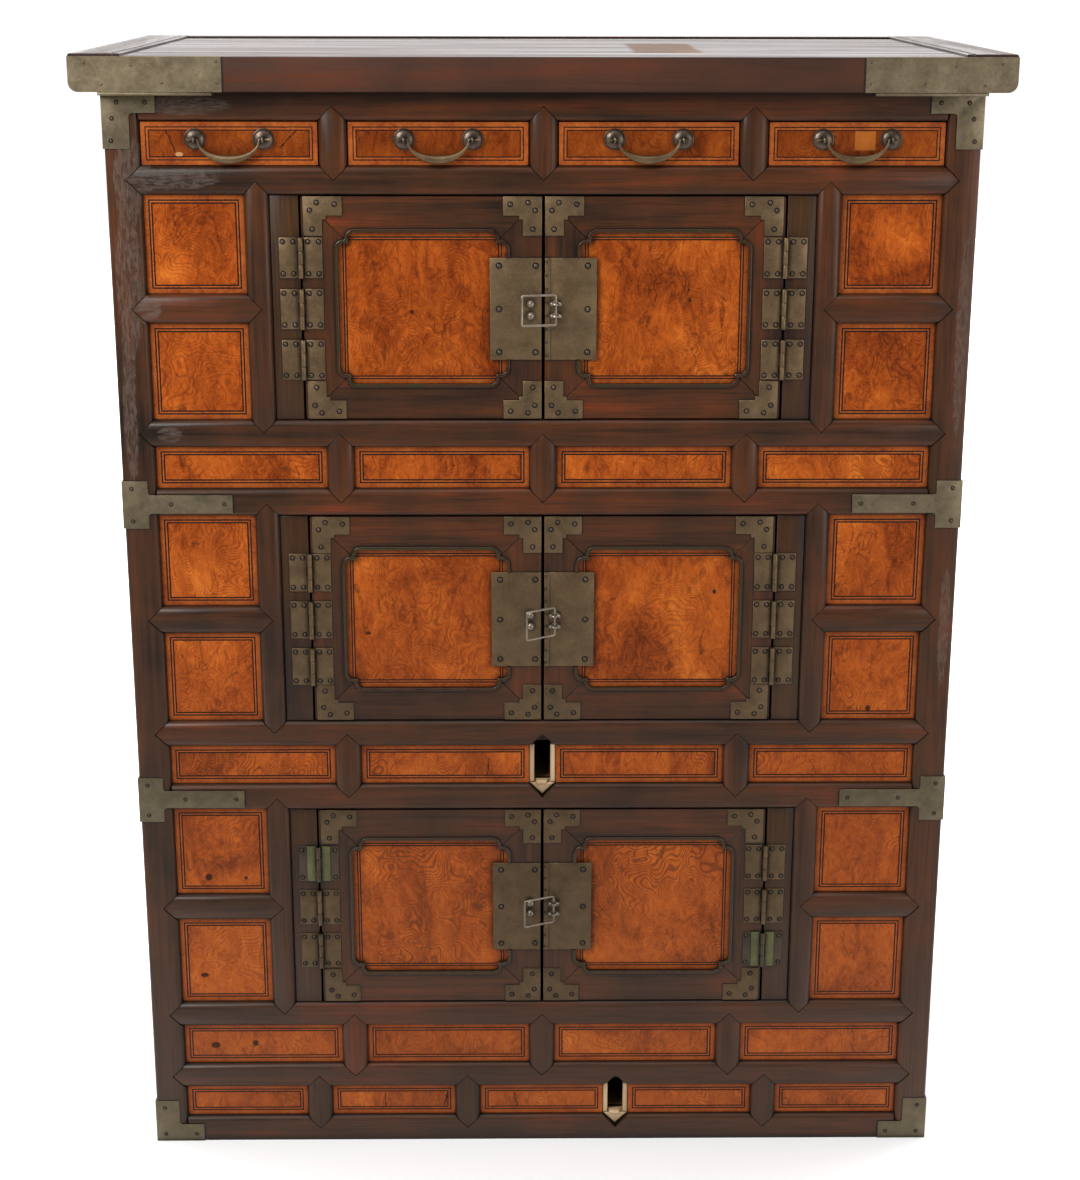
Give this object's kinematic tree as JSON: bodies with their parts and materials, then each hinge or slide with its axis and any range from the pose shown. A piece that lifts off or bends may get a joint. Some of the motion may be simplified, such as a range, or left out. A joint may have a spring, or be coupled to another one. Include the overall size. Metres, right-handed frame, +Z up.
{
  "type": "three-tier clothes chest",
  "caption": "Korean-style tall clothes chest in three tiers: dark convex frame, burl panels, hinged door pairs with wire hasps, a row of small drawers with bails, brass fittings.",
  "frame": {"origin": "centre of the bounding box at floor level", "axes": "+X to the chest's right as seen from the front, -Y towards the front, +Z up"},
  "size_m": [1.061, 0.5444, 1.3763],
  "materials": {
    "dark_wood": "worn satin lacquer",
    "burl_veneer": "satin lacquer",
    "pale_wood": "bare",
    "old_brass": "tarnished"
  },
  "bodies": {
    "carcass": {"left_front_post": "dark_wood", "right_front_post": "dark_wood", "left_back_post": "dark_wood", "right_back_post": "dark_wood", "left_side_wall": "dark_wood", "right_side_wall": "dark_wood", "back_panel": "pale_wood", "drawer_rails": "dark_wood", "upper_belt": "dark_wood", "middle_belt": "dark_wood", "base_belt": "dark_wood", "drawer_shelf": "pale_wood", "upper_floor": "pale_wood", "middle_floor": "pale_wood", "bottom_board": "pale_wood", "top_board": "dark_wood", "left_end_board": "dark_wood", "right_end_board": "dark_wood", "left_corner_strap": "old_brass", "right_corner_strap": "old_brass", "upper_left_bay": "dark_wood", "upper_right_bay": "dark_wood", "middle_left_bay": "dark_wood", "middle_right_bay": "dark_wood", "lower_left_bay": "dark_wood", "lower_right_bay": "dark_wood"},
    "upper_right_door": {"upper_right_door_frame": "dark_wood", "upper_right_door_panel": "burl_veneer", "upper_right_lock_plate": "old_brass"},
    "upper_left_door": {"upper_left_door_frame": "dark_wood", "upper_left_door_panel": "burl_veneer", "upper_left_lock_plate": "old_brass"},
    "upper_hasp": {"upper_hasp": "old_brass"},
    "middle_right_door": {"middle_right_door_frame": "dark_wood", "middle_right_door_panel": "burl_veneer", "middle_right_lock_plate": "old_brass"},
    "middle_left_door": {"middle_left_door_frame": "dark_wood", "middle_left_door_panel": "burl_veneer", "middle_left_lock_plate": "old_brass"},
    "middle_hasp": {"middle_hasp": "old_brass"},
    "lower_right_door": {"lower_right_door_frame": "dark_wood", "lower_right_door_panel": "burl_veneer", "lower_right_lock_plate": "old_brass"},
    "lower_left_door": {"lower_left_door_frame": "dark_wood", "lower_left_door_panel": "burl_veneer", "lower_left_lock_plate": "old_brass"},
    "lower_hasp": {"lower_hasp": "old_brass"},
    "drawer_1": {"drawer_1_front": "burl_veneer", "drawer_1_box": "pale_wood"},
    "drawer_1_bail": {"drawer_1_bail": "old_brass"},
    "drawer_2": {"drawer_2_front": "burl_veneer", "drawer_2_box": "pale_wood"},
    "drawer_2_bail": {"drawer_2_bail": "old_brass"},
    "drawer_3": {"drawer_3_front": "burl_veneer", "drawer_3_box": "pale_wood"},
    "drawer_3_bail": {"drawer_3_bail": "old_brass"},
    "drawer_4": {"drawer_4_front": "burl_veneer", "drawer_4_box": "pale_wood"},
    "drawer_4_bail": {"drawer_4_bail": "old_brass"}
  },
  "joints": [
    {"name": "upper_right_door_hinge", "type": "hinge", "parent": "carcass", "child": "upper_right_door", "pos_m": [0.28, -0.24135, 1.0865], "axis": [0, 0, 1], "range_deg": [0, 115]},
    {"name": "upper_left_door_hinge", "type": "hinge", "parent": "carcass", "child": "upper_left_door", "pos_m": [-0.28, -0.24135, 1.0865], "axis": [0, 0, -1], "range_deg": [0, 115]},
    {"name": "upper_hasp_swing", "type": "hinge", "parent": "upper_right_door", "child": "upper_hasp", "pos_m": [0.0145, -0.24625, 1.0865], "axis": [0, 0, 1], "range_deg": [-8, 150]},
    {"name": "middle_right_door_hinge", "type": "hinge", "parent": "carcass", "child": "middle_right_door", "pos_m": [0.28, -0.24135, 0.7085], "axis": [0, 0, 1], "range_deg": [0, 115]},
    {"name": "middle_left_door_hinge", "type": "hinge", "parent": "carcass", "child": "middle_left_door", "pos_m": [-0.28, -0.24135, 0.7085], "axis": [0, 0, -1], "range_deg": [0, 115]},
    {"name": "middle_hasp_swing", "type": "hinge", "parent": "middle_right_door", "child": "middle_hasp", "pos_m": [0.0145, -0.24625, 0.7085], "axis": [0, 0, 1], "range_deg": [-30, 128]},
    {"name": "lower_right_door_hinge", "type": "hinge", "parent": "carcass", "child": "lower_right_door", "pos_m": [0.28, -0.24135, 0.329], "axis": [0, 0, 1], "range_deg": [0, 115]},
    {"name": "lower_left_door_hinge", "type": "hinge", "parent": "carcass", "child": "lower_left_door", "pos_m": [-0.28, -0.24135, 0.329], "axis": [0, 0, -1], "range_deg": [0, 115]},
    {"name": "lower_hasp_swing", "type": "hinge", "parent": "lower_right_door", "child": "lower_hasp", "pos_m": [0.0145, -0.24625, 0.329], "axis": [0, 0, 1], "range_deg": [-22, 136]},
    {"name": "drawer_1_slide", "type": "slide", "parent": "carcass", "child": "drawer_1", "axis": [0, -1, 0], "range_m": [0, 0.3]},
    {"name": "drawer_1_bail_swing", "type": "hinge", "parent": "drawer_1", "child": "drawer_1_bail", "pos_m": [-0.35775, -0.24525, 1.2804], "axis": [-1, 0, 0], "range_deg": [0, 90]},
    {"name": "drawer_2_slide", "type": "slide", "parent": "carcass", "child": "drawer_2", "axis": [0, -1, 0], "range_m": [0, 0.3]},
    {"name": "drawer_2_bail_swing", "type": "hinge", "parent": "drawer_2", "child": "drawer_2_bail", "pos_m": [-0.12, -0.24525, 1.2804], "axis": [-1, 0, 0], "range_deg": [0, 90]},
    {"name": "drawer_3_slide", "type": "slide", "parent": "carcass", "child": "drawer_3", "axis": [0, -1, 0], "range_m": [0, 0.3]},
    {"name": "drawer_3_bail_swing", "type": "hinge", "parent": "drawer_3", "child": "drawer_3_bail", "pos_m": [0.12, -0.24525, 1.2804], "axis": [-1, 0, 0], "range_deg": [0, 90]},
    {"name": "drawer_4_slide", "type": "slide", "parent": "carcass", "child": "drawer_4", "axis": [0, -1, 0], "range_m": [0, 0.3]},
    {"name": "drawer_4_bail_swing", "type": "hinge", "parent": "drawer_4", "child": "drawer_4_bail", "pos_m": [0.35775, -0.24525, 1.2804], "axis": [-1, 0, 0], "range_deg": [0, 90]}
  ],
  "couplings": [
    {"joint": "upper_left_door_hinge", "follows": "upper_right_door_hinge", "ratio": 1},
    {"joint": "middle_left_door_hinge", "follows": "middle_right_door_hinge", "ratio": 1},
    {"joint": "lower_left_door_hinge", "follows": "lower_right_door_hinge", "ratio": 1}
  ]
}
